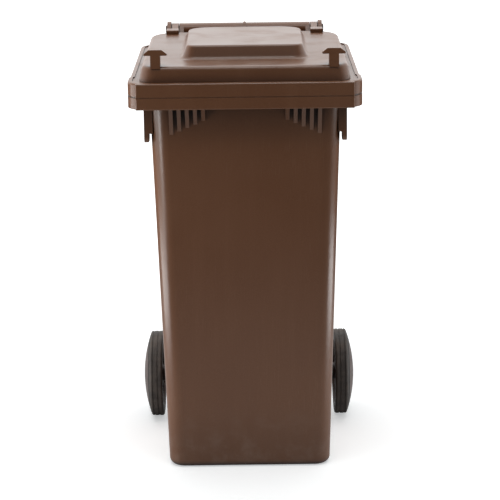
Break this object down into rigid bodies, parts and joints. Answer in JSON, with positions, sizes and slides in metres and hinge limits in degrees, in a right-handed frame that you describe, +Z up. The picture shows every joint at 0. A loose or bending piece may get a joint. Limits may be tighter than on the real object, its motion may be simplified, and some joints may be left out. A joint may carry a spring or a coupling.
{
  "type": "wheelie bin",
  "caption": "Wheelie bin: tapered plastic container with a comb-lift collar, hinged domed lid with T-shaped grips, push handle, steel axle and solid-tyred wheels.",
  "frame": {"origin": "middle of the rectangle the whole bin covers, on the ground plane", "axes": "+Z up, -Y is the front of the bin, +X is to the right when looking at the front"},
  "size_m": [0.494, 0.55, 0.922],
  "materials": {
    "brown_plastic": "semi-gloss injection-moulded polyethylene, brown, finely grained and scuffed at the edges",
    "black_plastic": "satin black moulded plastic",
    "black_rubber": "matt solid rubber, dusty on the tread",
    "zinc_steel": "zinc-plated bar, drawn lengthwise",
    "spring_steel": "oiled spring wire"
  },
  "bodies": {
    "container_body": {"container": "brown_plastic", "hinge_pin_left": "black_plastic", "hinge_pin_right": "black_plastic"},
    "lid_body": {"lid": "brown_plastic"},
    "axle_body": {"axle": "zinc_steel", "axle_spacer_left": "black_plastic", "axle_spacer_right": "black_plastic"},
    "wheel_left": {"wheel_hub_left": "black_plastic", "tyre_left": "black_rubber", "hub_cap_left": "black_plastic", "pawl_spring_left": "spring_steel"},
    "wheel_right": {"wheel_hub_right": "black_plastic", "tyre_right": "black_rubber", "hub_cap_right": "black_plastic", "pawl_spring_right": "spring_steel"},
    "pawl_left": {"lock_pawl_left": "zinc_steel"},
    "pawl_right": {"lock_pawl_right": "zinc_steel"}
  },
  "joints": [
    {"name": "lid_hinge", "type": "hinge", "parent": "container_body", "child": "lid_body", "pos_m": [0, 0.257, 0.904], "axis": [-1, 0, 0], "range_deg": [0, 270]},
    {"name": "axle_spin", "type": "hinge", "parent": "container_body", "child": "axle_body", "pos_m": [0, 0.172, 0.1], "axis": [1, 0, 0], "continuous": true},
    {"name": "wheel_spin_left", "type": "hinge", "parent": "axle_body", "child": "wheel_left", "pos_m": [-0.218, 0.172, 0.1], "axis": [1, 0, 0], "continuous": true},
    {"name": "wheel_spin_right", "type": "hinge", "parent": "axle_body", "child": "wheel_right", "pos_m": [0.218, 0.172, 0.1], "axis": [1, 0, 0], "continuous": true},
    {"name": "lock_release_left", "type": "slide", "parent": "wheel_left", "child": "pawl_left", "axis": [0, 0, 1], "range_m": [0, 0.003], "stiffness_N_per_m": 400, "springref_m": -0.004, "deforming": ["pawl_spring_left"]},
    {"name": "lock_release_right", "type": "slide", "parent": "wheel_right", "child": "pawl_right", "axis": [0, 0, 1], "range_m": [0, 0.003], "stiffness_N_per_m": 400, "springref_m": -0.004, "deforming": ["pawl_spring_right"]}
  ]
}
